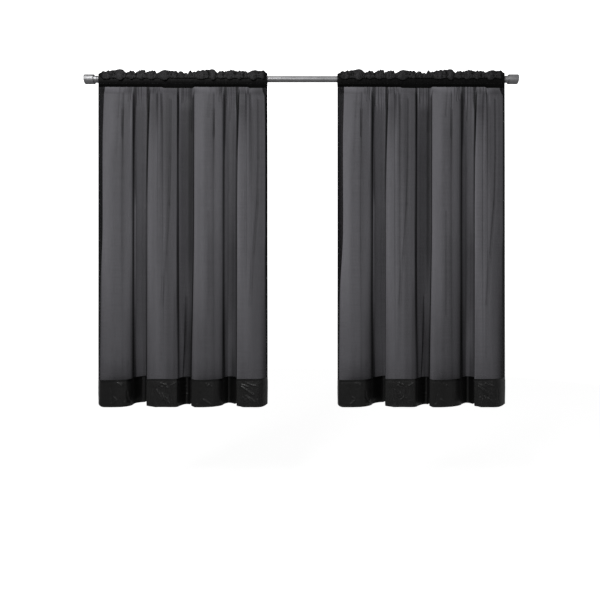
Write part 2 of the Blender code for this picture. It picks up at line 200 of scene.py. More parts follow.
# Soft creases in the sheer cloth, in mm: where each starts and ends along the pattern and
# down from the pocket, its half width, and its depth. A ridge has a negative depth.
CREASES = (
    # x, down, x, down, half width, depth
    (98, -20, 88, 150, 5, 2.2), (88, 150, 80, 330, 7, 1.4), (142, -20, 141, 70, 3.5, 2.6),
    (153, -20, 154, 60, 3.5, 2.4), (114, 110, 112, 250, 3.5, 3),
    (343, 60, 341, 350, 5, 3.6),  # long crease that runs inward on the way down
    (341, 350, 335, 570, 5, 4), (335, 570, 319, 790, 6, 3.4), (319, 790, 300, 1030, 8, 3.4),
    (300, 1030, 296, 1300, 10, 2), (182, -20, 182, 80, 3.5, 2.4), (198, -20, 196, 70, 4, 2.2),
    (401, -20, 401, 60, 4, 2.4), (420, 1000, 415, 1230, 4, 4), (415, 1230, 408, 1400, 4, 5),
    (445, -20, 440, 200, 6, 2.6), (535, -20, 525, 150, 5, 2.2), (528, 600, 528, 1100, 7, 2.2),
    (580, -20, 578, 70, 3.5, 2.6), (590, -20, 588, 60, 3.5, 2.2), (632, -20, 628, 150, 4, 2.4),
    (552, 110, 551, 250, 3.5, 3),
    (765, 60, 766, 350, 5, 3.8),  # the same long crease in the fourth fold
    (766, 350, 760, 570, 5, 3.6), (760, 570, 740, 790, 6, 4.2), (740, 790, 724, 1030, 8, 3.2),
    (724, 1030, 722, 1300, 10, 1.8), (60, 420, 54, 900, 14, -1.2), (490, 380, 484, 860, 14, -1.2),
    (30, 1240, 150, 1330, 6, 0.9), (470, 1220, 560, 1290, 6, 0.8),
)
# How wide the left side hem lies, in mm
OUTER_HEM = (
    # down from the rod's axis, width
    (34, 33), (270, 31), (569, 35), (785, 36), (1025, 30), (1217, 25), (1434, 24),
)

# Painted shade: soft bands that run down the cloth, in mm and thousandths, where each face
# stops more of the light than plain cloth does and is darker, in the recesses, on steep
# sides and just above the hem. A share under 0 is painted light, as just under the pocket:
# there the face stops less and is lighter. They were fitted, with the help of printed
# brightness, to the photograph's light and dark. What a row leaves out stays as in the
# row above.
SHADE_BANDS = (
    # each band from the pocket down: down, share, x, half width
    # just under the pocket, where the cloth of the broad folds slants
    ((0, -50, 60, 62), (12, -125), (22, -190), (28, -180), (34, -80), (44, 0)),
    ((0, -20, 300, 60), (12, -50), (22, -100), (30, -120), (44, 0)),
    ((0, -50, 506, 58), (12, -130), (22, -190), (29, -170), (44, 0)),
    ((0, -30, 706, 46), (12, -90), (22, -120), (28, -90), (42, 0)),
    ((0, 30, 420, 32), (30, 45), (60, 0)),
    # first broad fold
    ((-20, 20, 96, 24), (60, 35), (230, 50, 94, 28), (353, 80, 90, 34), (785, 75, 88),
     (1025, 50, 88, 32), (1217, 22, 88, 30), (1370, 55)),
    ((-20, 25, 128, 24), (60, 40), (113, 80, 128, 25), (785, 80), (1025, 45, 130),
     (1370, 45, 132)),
    ((-20, 70, 150, 9), (60, 60), (113, 30), (180, 0)),
    ((100, 0, 114, 4), (200, 80), (353, 30, 115), (480, 0, 118)),
    # its steep side
    ((-20, 200, 173, 8), (60, 210), (113, 200, 170, 7), (233, 170, 168, 6), (353, 90, 167, 5),
     (480, 0, 169, 6), (569, -140, 172, 7), (785, -160), (1025, -130), (1150, 0, 171, 6),
     (1217, 60, 170, 5), (1370, 140, 173, 7)),
    ((60, -40, 155, 4), (113, -90), (1025, -70, 156), (1217, 0)),
    ((353, 0, 161, 3), (569, 50), (1025, 50), (1217, 0)),
    # the recess behind it
    ((-20, 30, 202, 36), (60, 70), (113, 140), (353, 115), (569, 115), (785, 145, 200, 34),
     (1025, 120), (1217, 80, 202, 36), (1370, 95, 204)),
    ((150, 0, 216, 11), (353, 30), (1025, 40), (1370, 50, 220, 9)),
    # beside the sharp edge of the second fold
    ((-20, 280, 236, 7), (60, 300), (113, 320, 237, 6), (233, 280, 234, 5), (353, 230, 231, 4),
     (569, 70, 227), (785, 80, 226, 5), (1025, 60), (1217, 20, 225, 4), (1370, -40, 228, 6)),
    # second broad fold
    ((-20, 90, 272, 20), (60, 100, 270, 22), (113, 130, 266), (233, 85, 268, 24),
     (353, 55, 272, 26), (785, 55, 276, 28), (1025, 10), (1217, -15), (1370, 0)),
    ((60, 0, 301, 5), (113, 40, 303, 6), (233, 25, 305, 8), (353, 10, 303, 9), (569, 0, 302, 8)),
    ((60, 0, 280, 5), (113, -50), (233, -80, 280, 6), (353, -40, 279), (480, 0)),
    ((-20, 50, 311, 24), (113, 105), (353, 105), (569, 80), (785, 65), (1025, 40, 314),
     (1217, 15), (1370, 10)),
    ((-20, 85, 350, 28), (233, 125), (785, 120), (1025, 90), (1217, 70)),
    ((900, 0, 368, 10), (1025, 50), (1370, 50, 366, 12)),
    # its steep side
    ((-20, 270, 380, 6), (113, 210, 380, 5), (233, 150, 379), (353, 50, 378, 4),
     (569, 40, 375, 5), (785, 160, 377), (1025, 160, 378), (1217, 70, 380), (1370, 30, 387, 4)),
    # the second recess
    ((-20, 50, 420, 34), (50, 90), (113, 180), (353, 200, 421, 32), (785, 200, 421, 31),
     (1025, 140, 422, 26), (1217, 210, 427, 20), (1370, 180)),
    ((-20, 80, 442, 13), (353, 110), (785, 90), (1025, 30, 441, 11), (1217, 0, 438)),
    ((1025, 0, 420, 4), (1120, 50, 418), (1217, 50, 413), (1370, 0, 407)),
    # third broad fold
    ((-20, 0, 492, 26), (353, 18), (569, 45), (785, 40), (1025, 17), (1217, 40), (1370, 35)),
    ((-20, 20, 530, 26), (60, 35), (113, 65), (233, 85), (1025, 70), (1370, 50)),
    ((640, 0, 532, 14), (760, 25), (900, 30), (1040, 0)),
    ((113, 0, 552, 4), (200, 90), (353, 35, 552, 5), (480, 0, 553)),
    ((-20, 50, 566, 28), (569, 60), (785, 95), (1217, 50), (1370, 40)),
    ((-20, 80, 588, 7), (60, 40), (113, 0)),
    # its steep side
    ((60, 200, 606, 8), (113, 190, 604, 7), (233, 170, 602, 6), (353, 90, 600, 4), (569, 30, 598),
     (785, 0), (1025, 60), (1217, 170, 599), (1370, 80, 603, 5)),
    ((150, 0, 590, 5), (353, -50), (785, -50), (1217, -70, 591, 4), (1370, -30)),
    ((233, 0, 611, 6), (353, -40), (785, -60, 611, 7), (1025, -60), (1150, 0)),
    # the last recess
    ((-20, 35, 624, 28), (60, 80), (113, 105, 626, 26), (233, 120, 626, 24), (569, 145, 627),
     (785, 190), (1025, 155, 625), (1217, 85, 616), (1370, 90, 622, 26)),
    ((-20, 20, 652, 12), (233, 60), (353, 30), (569, 10), (785, 50), (1025, 30), (1217, -20, 650),
     (1370, 30, 652, 10)),
    ((-20, 280, 664, 8), (60, 290), (113, 320, 666, 6), (233, 270, 664, 5), (353, 100, 659, 4),
     (785, 70, 657), (1025, 50), (1217, 0, 658), (1370, -50, 660, 5)),
    # fourth broad fold
    ((-20, 80, 700, 28), (60, 100, 698, 26), (113, 140, 696), (233, 90, 700, 28),
     (353, 70, 704, 30), (785, 80), (1025, 15), (1217, -10), (1370, 25)),
    ((60, -40, 707, 6), (113, -60, 708), (233, -70, 706), (353, -40, 704, 5), (480, 0)),
    ((-20, 40, 724, 7), (60, 40, 725), (113, 75, 730, 10), (233, 65, 731, 11), (353, 45, 731, 12),
     (569, 0, 728, 10)),
    ((-20, 80, 766, 36), (113, 120), (785, 140), (1025, 100), (1217, 60), (1370, 50)),
    # the right side hem's edge
    ((113, 0, 804, 3), (233, -120), (569, -140), (700, 0)),
    ((700, 0, 801, 6), (785, 120), (1025, 150, 802), (1217, 0, 803, 5)),
    # the cloth just above the bottom hem
    ((1290, 0, 403, 600), (1335, 25), (1375, 20), (1400, 50)),
    ((1290, 0, 88, 76), (1335, 20), (1375, 60), (1400, 110)),
    ((1290, 0, 528, 70), (1335, 10), (1375, 50), (1400, 90)),
)
FLAT_TOP = 4  # a hill to this power keeps its height across most of its width
CREASE_SHADE = 0.012  # painted shade: a crease darkens by this share for each mm of its depth

# Painted shade in the bottom hem, from its upper line to its lower edge: bands darker in
# the recesses, where shade falls, and darker on the first and third folds
HEM_SHADE_BANDS = (
    # x, half width, share
    (45, 62, 290), (125, 26, 180), (197, 38, 300), (414, 32, 340), (492, 50, 290),
    (566, 28, 120), (628, 36, 300),
)
HEM_LINE_SHADE = 0.34  # and painted shade along its upper line, where the seam shades it
HEM_LINE_PLACE = (0.003, 0.008)  # this far below the line, half width
# And in the heading: the pocket and the side hems, for their extra layers and as painted
# shade, and painted shade in the valleys of the crumple and on the flat places between puffs.
# The last two are shares of the first.
POCKET_LAYERS_AND_SHADE = 0.42
VALLEY_SHADE = 0.55
FLAT_SHADE = 0.6

# Wrinkles in the bottom hem, in mm: along the pattern, and up from its bottom edge
HEM_CREASES = (
    # x, up, x, up, half width, depth
    (88, 110, 94, 96, 2.6, -1.6), (94, 110, 110, 98, 2.6, -1.5), (112, 108, 116, 94, 2.4, -1.3),
    (60, 12, 84, 30, 3.4, -1.6), (70, 44, 80, 36, 2.6, -1.4), (62, 6, 60, 96, 4, 1.1),
    (124, 20, 150, 8, 3.4, -1.5), (132, 70, 140, 30, 4, 1.2), (288, 98, 298, 110, 2.6, -2.6),
    (298, 110, 318, 104, 2.6, -2.4), (314, 108, 330, 88, 2.6, -2.4),
    (292, 96, 306, 92, 2.6, -1.8), (344, 96, 366, 112, 2.4, -2.2), (278, 78, 300, 44, 2.8, -2.4),
    (300, 62, 316, 30, 2.8, -2), (326, 88, 318, 44, 3, -2.2), (318, 46, 334, 22, 2.8, -2),
    (302, 30, 312, 40, 2.4, -1.8), (334, 60, 338, 24, 4, 1.6), (262, 84, 276, 20, 6, 1.2),
    (404, 102, 418, 100, 2.6, -1.6), (402, 84, 420, 83, 2.6, -1.6), (404, 68, 418, 66, 2.6, -1.5),
    (406, 50, 424, 48, 2.8, -1.5), (514, 108, 520, 94, 2.4, -2), (520, 94, 530, 104, 2.4, -2),
    (530, 104, 540, 92, 2.4, -1.8), (502, 34, 536, 10, 3.4, -1.8), (472, 20, 480, 60, 4, 1.2),
    (686, 104, 716, 92, 3, -2.4), (716, 108, 758, 94, 3, -2.2), (684, 92, 740, 56, 4.6, -2.6),
    (704, 60, 726, 46, 3, 1.4), (718, 40, 728, 26, 2.8, -2.4), (732, 38, 744, 24, 2.6, -2),
    (689, 44, 687, 10, 2.6, -1.8), (700, 34, 698, 8, 2.6, -1.4), (762, 32, 764, 6, 2.8, -1.8),
    (774, 80, 780, 20, 4, 1.2),
)

# The ruffled heading's top edge, above the rod's axis, in mm
RUFFLE = (
    # x, top
    (0, 21), (16, 29), (44, 33), (81, 39), (99, 40), (114, 40), (123, 33), (133, 24), (156, 35),
    (166, 33), (175, 24), (190, 33), (208, 39), (220, 38), (225, 24), (240, 33), (269, 35),
    (275, 23), (307, 35), (329, 38), (350, 34), (374, 33), (381, 25), (392, 33), (408, 23),
    (426, 21), (440, 36), (447, 27), (460, 30), (504, 38), (542, 41), (556, 38), (570, 24),
    (585, 34), (603, 30), (643, 39), (662, 32), (696, 34), (714, 27), (754, 38), (772, 33),
    (790, 35), (806, 24),
)
# The heading's puffs. Swell and crumple are out of 1.
PUFFS = (
    # x from, x to, swell, pleats, crumple
    (-12, 80, 0.8, 4, 0.8), (76, 127, 1, 1, 0.3), (129, 177, 0.8, 3, 1), (177, 225, 0.9, 4, 0.9),
    (225, 277, 0.9, 4, 0.9), (280, 346, 1, 1, 0.4), (344, 380, 0.7, 2, 1), (380, 408, 0.6, 2, 1),
    (410, 447, 0.65, 2, 1), (447, 530, 0.85, 4, 1), (526, 569, 1, 1, 0.3), (570, 603, 0.8, 2, 1),
    (602, 654, 0.9, 4, 0.9), (654, 698, 0.85, 3, 1), (696, 716, 0.6, 1, 0.4),
    (714, 766, 1, 1, 0.4), (764, 818, 0.8, 3, 0.9),
)
# The heading in section, from the lower seam at the back, over the top edge, to the lower
# seam in front. Flat and puffed places, in mm. The share rises from the upper seam to the
# ruffle's top edge, and a point with no share keeps its height.
SEAM_HEIGHT = 15.5
SECTION = (
    # y_flat, z_flat, y_puff, z_puff, share
    (0.9, -34.5, 0.9, -34.5, 0), (8.5, -28, 8.5, -28, 0), (14.4, -17, 14.4, -17, 0),
    (16.6, -5, 16.6, -5, 0), (16.6, 6, 17, 5, 0), (14.8, 14, 15.4, 13, 0),
    (12.4, 17, 15, 16.5, 0), (9.4, 0, 12.5, 0, 0.35), (5, 0, 8, 0, 0.78),
    (0, 0, -3, 0, 1),  # top edge
    (-5, 0, -12.5, 0, 0.82), (-10, 0, -21, 0, 0.42), (-13.5, 18, -26, 11, 0),
    (-15.6, 17, -27.2, 0, 0), (-16.6, 16.2, -25.4, -10.4, 0),
    (-17, 15.4, -21.8, -12.2, 0),  # underside of the puff
    (-17, 14.6, -18.8, -6, 0),
    (-16.6, 13.6, -17.2, 8, 0),  # upper seam
    (-17, 4, -17, 2, 0), (-16.8, -6, -16.8, -6, 0), (-14.8, -17, -14.8, -17, 0),
    (-9.5, -28, -9.5, -28, 0), (-0.9, -34.5, -0.9, -34.5, 0),
)
TOP_EDGE = 9  # index of the section's top edge
UNDERSIDE = 13  # and of the first point of the puffs' undersides
UPPER_SEAM = 17
BACK_SEAM = 5.5
RUFFLE_LIFT = 0.005  # the built edge stands this much above the table's line
HEADING_END = 0.014  # at each end, the puffs fade out over this length
# The ruffle's and the pocket's seams' middles and half widths, in points of SECTION
RUFFLE_LEVELS = (11.5, 4.0)
POCKET_LEVELS = ((20.5, 1.4), (1.5, 1.6))
PUFF_ROUND = 0.6  # power of a puff's arch, less for a squarer one
PLEAT_START = 1.2  # radians
LEAST_HANG = 0.62  # the underside hangs at least this far down, out of 1
BACK_MEAN = 0.55  # how far the heading's back swells, out of 1
BETWEEN_CRUMPLE = 0.4  # between two puffs, out of 1
FINE_LEAST = 0.35  # share of the fine crumple that the smoothest puff keeps
SPIKE_HEIGHT = 0.0012
# Width, height and seed of the heading's noise
SPIKES = (0.006, 1.0, 31)
BACK_PUFFS = (0.035, 1.0, 33)
LUMPS = (0.0085, 0.010, 35)
FINE_LUMPS = (0.0046, 0.0052, 39)
TUCKS = (0.0042, 0.03, 37)
SOFT = (0.011, 0.05, 38)
PLEAT_DEPTH = 0.0016
LUMP_DEPTH = 0.0020
FINE_DEPTH = 0.0008
TUCK_DEPTH = 0.0007
SOFT_DEPTH = 0.0004
SECTION_STEPS = 3

ROUND_STEPS = 96
TURN = 2.0 * math.pi


def mix(a, b, share):
    """The value that lies this share of the way from a to b."""
    return a + (b - a) * share


def smooth(share):
    """Eases a share in and out, and holds it between 0 and 1."""
    share = np.clip(share, 0.0, 1.0)
    return share * share * (3.0 - 2.0 * share)


def hill(at, middle, half_width, power=2):
    """1 at the middle, falling to nearly 0 at twice the half width."""
    return np.exp(-(((at - middle) / half_width) ** power))


def column_of(table, at):
    """Reads a table of places and values, both in mm, at places given in metres."""
    places, values = np.array(table).T * MM
    return np.interp(at, places, values)


def lattice_noise(across, down, seed):
    """Smooth noise from -1 to 1, about one unit wide, and the same on every run."""
    size = 256
    table = np.random.default_rng(seed).uniform(-1.0, 1.0, (size, size))
    column = np.floor(across).astype(int)
    row = np.floor(down).astype(int)
    right = smooth(across - column)
    below = smooth(down - row)

    def corner(add_column, add_row):
        return table[(row + add_row) % size, (column + add_column) % size]

    upper = mix(corner(0, 0), corner(1, 0), right)
    lower = mix(corner(0, 1), corner(1, 1), right)
    return mix(upper, lower, below)


def crumple(across, down, seed):
    """Sharp little ridges between soft hollows, about one unit apart, from -1 to 1."""
    first = 1.0 - 2.0 * np.abs(lattice_noise(across, down, seed))
    second = 1.0 - 2.0 * np.abs(lattice_noise(across * 1.9 + 7.3, down * 1.7 + 3.1, seed + 1))
    return mix(second, first, 0.65)


def noise_at(grain, across, down, kind=lattice_noise):
    """Noise by its width, height and seed."""
    wide, high, seed = grain
    return kind(across / wide, down / high, seed)


# Grids of points: rows run down the cloth, columns run along it


def smooth_columns(knots, chords, steps):
    """Fine columns on a curve through the knots, which are chords apart. A long stretch
    stays straight beside a short one, so sharp edges stay sharp."""
    slopes = np.empty_like(knots)
    legs = np.diff(knots, axis=0) / chords[:, None]
    slopes[0] = legs[0]
    slopes[-1] = legs[-1]
    before = chords[:-1, None]
    after = chords[1:, None]
    slopes[1:-1] = (legs[:-1] * before + legs[1:] * after) / (before + after)
    columns = []
    for i, count in enumerate(steps):
        share = (np.arange(count) / count)[:, None]
        square = share * share
        cube = square * share
        columns.append(
            (2 * cube - 3 * square + 1) * knots[i]
            + (cube - 2 * square + share) * chords[i] * slopes[i]
            + (3 * square - 2 * cube) * knots[i + 1]
            + (cube - square) * chords[i] * slopes[i + 1]
        )
    columns.append(knots[-1:])
    return np.concatenate(columns)


def reach_along(points, axis=0):
    """How far along its line each point of a line or grid lies from the first."""
    legs = np.linalg.norm(np.diff(points, axis=axis), axis=-1)
    return np.insert(np.cumsum(legs, axis=axis), 0, 0.0, axis=axis)


def points_at(places, reach, line):
    """The points of a line that lie this far along it."""
    return np.stack([np.interp(places, reach, line[:, k]) for k in range(3)], axis=-1)


def fold_columns(width):
    """The panel's fine columns, each a row of the fold table in metres, and each one's
    place along the cloth laid flat."""
    knots = np.array(FOLDS) * MM
    knots[:, :3] *= width / PATTERN_WIDTH
    chords = np.hypot(np.diff(knots[:, 2]), np.diff(knots[:, 5]))
    steps = np.maximum(2, np.ceil(chords / COLUMN_PITCH)).astype(int)
    columns = smooth_columns(knots, chords, steps)
    return columns, reach_along(columns[:, [2, 5]])


def between(top, mid, low, drop):
    """A value at a share of the drop, from its values at the top, at MIDWAY and low down."""
    above = 1.0 - np.clip(drop / MIDWAY, 0.0, 1.0)
    upper = mix(mid, top, above * above)
    return mix(upper, low, smooth((drop - MIDWAY) / (1.0 - MIDWAY)))


def drop_at(heights):
    """The share of the drop from the pocket to the bottom edge."""
    return np.clip((POCKET_BOTTOM - heights) / (POCKET_BOTTOM - HEM_BOTTOM), 0.0, 1.0)


def plan_grid(columns, heights, left, pocket_low):
    """Points of the hanging sheet for each column at each of its heights."""
    x_top, x_mid, x_low, back_top, back_mid, back_low = columns.T
    drop = drop_at(heights)
    leave = smooth((pocket_low - heights) / GATHER_FADE)
    back = between(back_top, back_mid, back_low, drop)
    y = leave * (back - between(*MIDDLE, drop))
    x = (between(x_top, x_mid, x_low, drop) + left) * (1.0 + y / FAN_DISTANCE)
    return np.stack((x, y, heights), axis=2)


def grid_normals(points):
    """Unit normals of a grid, on the side that faces the viewer where the cloth is flat."""
    along = np.gradient(points, axis=1)
    down = np.gradient(points, axis=0)
    normal = np.cross(down, along)
    return normal / np.linalg.norm(normal, axis=2, keepdims=True)


def line_field(across, level, rows):
    """How strongly points of a grid belong to soft straight lines, by the last column of
    their table."""
    field = np.zeros_like(across)
    for x0, level0, x1, level1, half_width, strength in rows:
        run = np.array((x1 - x0, level1 - level0)) * MM
        length = math.hypot(*run)
        from_x = across - x0 * MM
        from_level = level - level0 * MM
        share = np.clip((from_x * run[0] + from_level * run[1]) / length**2, 0.0, 1.0)
        away = np.hypot(from_x - share * run[0], from_level - share * run[1])
        field += strength * hill(away, 0.0, half_width * MM)
    return field


def shade_band_field(across, down):
    """The painted shade of the bands at points of a grid, as a share of the light they stop."""
    field = np.zeros_like(across)
    for band in SHADE_BANDS:
        row = ()
        rows = []
        for given in band:
            row = given + row[len(given) :]
            rows.append(row)
        levels, *columns = np.array(rows).T
        share, middle, half_width = (np.interp(down / MM, levels, column) for column in columns)
        field += share * hill(across / MM, middle, half_width, FLAT_TOP)
    return field * PER_MILLE


def ripple_field(across, down):
    """The depth of the gathers that fan out under the pocket."""
    depth = np.zeros_like(across)
    for x0, x1, waves, deep, reach in RIPPLES:
        share = (across - x0 * MM) / ((x1 - x0) * MM)
        inside = smooth(np.minimum(share, 1.0 - share) / RIPPLE_END)
        fade = hill(down, 0.0, reach * MM) * smooth(down / RIPPLE_RISE + RIPPLE_START)
        wave = np.sin(TURN * waves * (share + UNEVEN * np.sin(9.0 * share)))
        depth += deep * MM * inside * fade * wave
    return depth


# Meshes

CLOSE_AND_SHADE = "closeness_and_painted_shade"  # the mesh attribute with the share of extra cover and painted shade
SHARP = math.radians(75)


def add_mesh(name, verts, faces, finish, uv=None, close_and_shade=None):
    """Makes an object of points and faces, smooth except at sharp edges."""
    mesh = bpy.data.meshes.new(name)
    mesh.from_pydata(verts, [], faces)
    if uv is not None:
        layer = mesh.uv_layers.new(name="cloth")
        corners = np.empty(len(mesh.loops), np.int32)
        mesh.loops.foreach_get("vertex_index", corners)
        layer.data.foreach_set("uv", uv[corners].astype(np.float32).ravel())
    if close_and_shade is not None:
        layer = mesh.attributes.new(CLOSE_AND_SHADE, "FLOAT", "POINT")
        layer.data.foreach_set("value", close_and_shade.astype(np.float32))
    mesh.shade_smooth()
    mesh.set_sharp_from_angle(angle=SHARP)
    mesh.materials.append(finish)
    thing = bpy.data.objects.new(name, mesh)
    bpy.context.scene.collection.objects.link(thing)
    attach(thing, ROOT)
    return thing


def shell(name, thickness, finish, points, uv, close_and_shade=None):
    """A closed thin sheet whose middle is a grid of points."""
    half = grid_normals(points) * thickness / 2.0
    verts = np.concatenate(((points + half).reshape(-1, 3), (points - half).reshape(-1, 3)))
    index = np.arange(points[:, :, 0].size).reshape(points.shape[:2])
    count = index.size
    corners = (index[:-1, :-1], index[1:, :-1], index[1:, 1:], index[:-1, 1:])
    front = np.stack([corner.ravel() for corner in corners], axis=1)
    rim = np.concatenate(
        (index[:-1, 0], index[-1, :-1], index[:0:-1, -1], index[0, :0:-1], index[:1, 0])
    )
    here = rim[:-1]
    ahead = rim[1:]
    edge = np.stack((ahead, here, here + count, ahead + count), axis=1)
    faces = np.concatenate((front, front[:, [0, 3, 2, 1]] + count, edge))
    if close_and_shade is not None:
        close_and_shade = np.concatenate((close_and_shade, close_and_shade))
    return add_mesh(name, verts, faces, finish, np.concatenate((uv, uv)), close_and_shade)


def flat_uv(along, down):
    """The place of each point on the cloth laid flat, in metres."""
    return np.stack((along.ravel(), down.ravel()), axis=1)


def turned(name, profile, finish):
    """Turns a closed outline of (x, radius) points about the X axis. An outline may start
    and end on the axis."""
    verts = []
    rings = []
    for x, radius in profile:
        count = ROUND_STEPS if radius > 0.0 else 1
        rings.append([len(verts) + step % count for step in range(ROUND_STEPS + 1)])
        for step in range(count):
            angle = TURN * step / ROUND_STEPS
            verts.append((x, radius * math.cos(angle), radius * math.sin(angle)))
    faces = []
    for here, ahead in zip(rings, rings[1:] + rings[:1]):
        for step in range(ROUND_STEPS):
            corners = (here[step], here[step + 1], ahead[step + 1], ahead[step])
            corners = list(dict.fromkeys(corners))
            if len(corners) > 2:
                faces.append(corners)
    return add_mesh(name, verts, faces, finish)


# Materials


class Tree:
    """The emptied node tree of a material or world, with short calls to add and join nodes."""

    def __init__(self, owner):
        owner.use_nodes = True
        self.owner = owner
        self.tree = owner.node_tree
        self.tree.nodes.clear()

    def add(self, kind, inputs=(), **settings):
        """Adds a node. Inputs are sockets to link or values to set, by name or number."""
        made = self.tree.nodes.new("ShaderNode" + kind)
        for name, value in settings.items():
            setattr(made, name, value)
        for key, value in dict(inputs).items():
            if isinstance(value, bpy.types.NodeSocket):
                self.tree.links.new(value, made.inputs[key])
            else:
                made.inputs[key].default_value = value
        return made

    def math(self, operation, first, second=0.0):
        """A sum of two values or sockets."""
        return self.add("Math", {0: first, 1: second}, operation=operation).outputs[0]

    def mapped(self, value, low, high, to_low=0.0, to_high=1.0, **settings):
        """A value carried from one range to another."""
        inputs = {0: value, 1: low, 2: high, 3: to_low, 4: to_high}
        return self.add("MapRange", inputs, **settings).outputs[0]

    def noise(self, place, scale, detail=2.0):
        """Noise from 0 to 1, mostly near 0.5."""
        inputs = {"Vector": place, "Scale": scale, "Detail": detail}
        return self.add("TexNoise", inputs).outputs[0]

    def blend(self, share, first, second):
        """A colour this share of the way from the first to the second."""
        inputs = {0: share, 6: first, 7: second}
        return self.add("Mix", inputs, data_type="RGBA").outputs[2]

    def bump(self, strength, distance, height):
        """A normal for fine relief."""
        inputs = {"Strength": strength, "Distance": distance, "Height": height}
        return self.add("Bump", inputs).outputs[0]

    def finish(self, **shaders):
        """Joins a material's shaders to its output, and returns the material."""
        self.add("OutputMaterial", shaders)
        return self.owner


def material_tree(name):
    """The tree of a new material, and the place of each point on the object."""
    tree = Tree(bpy.data.materials.new(name))
    return tree, tree.add("TexCoord").outputs["Object"]


BLACK = (0.0, 0.0, 0.0, 1.0)
WHITE = (1.0, 1.0, 1.0, 1.0)
THREAD_PITCH = 0.0007
SLUBS = ((900.0, 14.0), (10.0, 700.0))  # uneven yarn, for each metre across and down
SPREAD = (0.3, 0.7)  # where nearly all of the noise's values lie
THREADS_COVER = (-0.06, 0.06)  # what a gap and a thread add to the cloth's cover
UNEVEN_COVER = (-0.05, 0.05)  # and what uneven yarn adds
PAINTED_SHADE_DARK = 0.97  # painted shade: the most shaded cloth is this much nearer to black
SHEEN = 0.04
VOILE_DARK = (0.013, 0.013, 0.014, 1.0)
VOILE_LIGHT = (0.024, 0.0235, 0.025, 1.0)
HEM_DARK = (0.0105, 0.0103, 0.0103, 1.0)
HEM_LIGHT = (0.0240, 0.0236, 0.0236, 1.0)
# The heading's cloth, the same voile as the sheet, is painted lighter: painted light on the
# puffs.
PUFF_DARK = (0.018, 0.0177, 0.019, 1.0)
PUFF_LIGHT = (0.098, 0.0970, 0.100, 1.0)
GAP_TINT = (0.967, 0.958, 1.0, 1.0)  # what one face's gaps let through
CLOTHS = (
    # piece, name, cover, absorbed for each metre, dark, light, roughness, gloss
    ("sheer", "sheer_voile", 0.530, 2850.0, VOILE_DARK, VOILE_LIGHT, 0.6, 0.2),
    ("side", "side_hem_voile", 0.66, 1350.0, VOILE_DARK, VOILE_LIGHT, 0.6, 0.2),
    ("hem", "hem_voile", 0.80, 9000.0, HEM_DARK, HEM_LIGHT, 0.33, 0.50),
    ("heading", "heading_voile", 0.62, 900.0, PUFF_DARK, PUFF_LIGHT, 0.55, 0.12),
)
THREAD_DARK = (0.020, 0.020, 0.022, 1.0)
THREAD_LIGHT = (0.055, 0.054, 0.058, 1.0)
METAL_DARK = (0.40, 0.40, 0.41, 1.0)
METAL_LIGHT = (0.47, 0.47, 0.48, 1.0)
BRUSH = (30.0, 900.0, 900.0)  # brush lines for each metre, long ones along the rod
ROUGH_BRUSH = 0.1
ROUGH_SMUDGE = (-0.02, 0.05)


def weave(tree):
    """The plain weave's two sets of threads, and uneven yarn, each from 0 to 1."""
    cloth = tree.add("UVMap", uv_map="cloth").outputs[0]
    split = tree.add("SeparateXYZ", {0: cloth})
    sets = []
    for k in (0, 1):
        turns = tree.math("MULTIPLY", split.outputs[k], TURN / THREAD_PITCH)
        sets.append(tree.math("SINE", turns))
    threads = tree.mapped(tree.math("MAXIMUM", *sets), -1.0, 1.0)
    slubs = []
    for scales in SLUBS:
        places = {k: tree.math("MULTIPLY", split.outputs[k], scales[k]) for k in (0, 1)}
        slubs.append(tree.noise(tree.add("CombineXYZ", places).outputs[0], 1.0))
    uneven = tree.math("MULTIPLY", tree.math("ADD", *slubs), 0.5)
    return threads, uneven


def voile(name, cover, absorbs, dark, light, roughness, gloss):
    """Sheer cloth. Cover is the share of light that each face's threads stop, and absorbs
    is how much each metre inside the sheet takes from what goes through."""
    tree = Tree(bpy.data.materials.new(name))
    threads, uneven = weave(tree)
    colour = tree.blend(tree.mapped(uneven, *SPREAD), dark, light)
    # Painted shade: the attribute's share darkens the colour towards black and adds to the cover.
    shade_share = tree.add("Attribute", attribute_name=CLOSE_AND_SHADE).outputs["Fac"]
    shaded = tree.mapped(shade_share, 0.0, POCKET_LAYERS_AND_SHADE, 0.0, PAINTED_SHADE_DARK)
    relief = tree.math("ADD", threads, tree.math("MULTIPLY", uneven, 0.8))
    yarn = tree.add(
        "BsdfPrincipled",
        {
            "Base Color": tree.blend(shaded, colour, BLACK),
            "Roughness": roughness,
            "Sheen Weight": SHEEN,
            "Sheen Roughness": 0.4,
            "Specular IOR Level": gloss,
            "Normal": tree.bump(0.35, 0.00012, relief),
        },
    )
    gap = tree.add("BsdfTransparent", {"Color": GAP_TINT})
    covered = tree.math("ADD", tree.mapped(threads, 0.0, 1.0, *THREADS_COVER), cover)
    covered = tree.math("ADD", tree.mapped(uneven, *SPREAD, *UNEVEN_COVER), covered)
    covered = tree.math("ADD", covered, shade_share)
    both = tree.add("MixShader", {0: covered, 1: gap.outputs[0], 2: yarn.outputs[0]})
    inside = tree.add("VolumeAbsorption", {"Color": BLACK, "Density": absorbs})
    return tree.finish(Surface=both.outputs[0], Volume=inside.outputs[0])


def thread(name):
    """Twisted sewing thread, a little lighter than the cloth."""
    tree, place = material_tree(name)
    wave = tree.add("TexWave", {"Vector": place, "Scale": 900.0, "Distortion": 2.0})
    twist = wave.outputs[1]
    shader = tree.add(
        "BsdfPrincipled",
        {
            "Base Color": tree.blend(twist, THREAD_DARK, THREAD_LIGHT),
            "Roughness": 0.55,
            "Normal": tree.bump(0.4, 0.0001, twist),
        },
    )
    return tree.finish(Surface=shader.outputs[0])


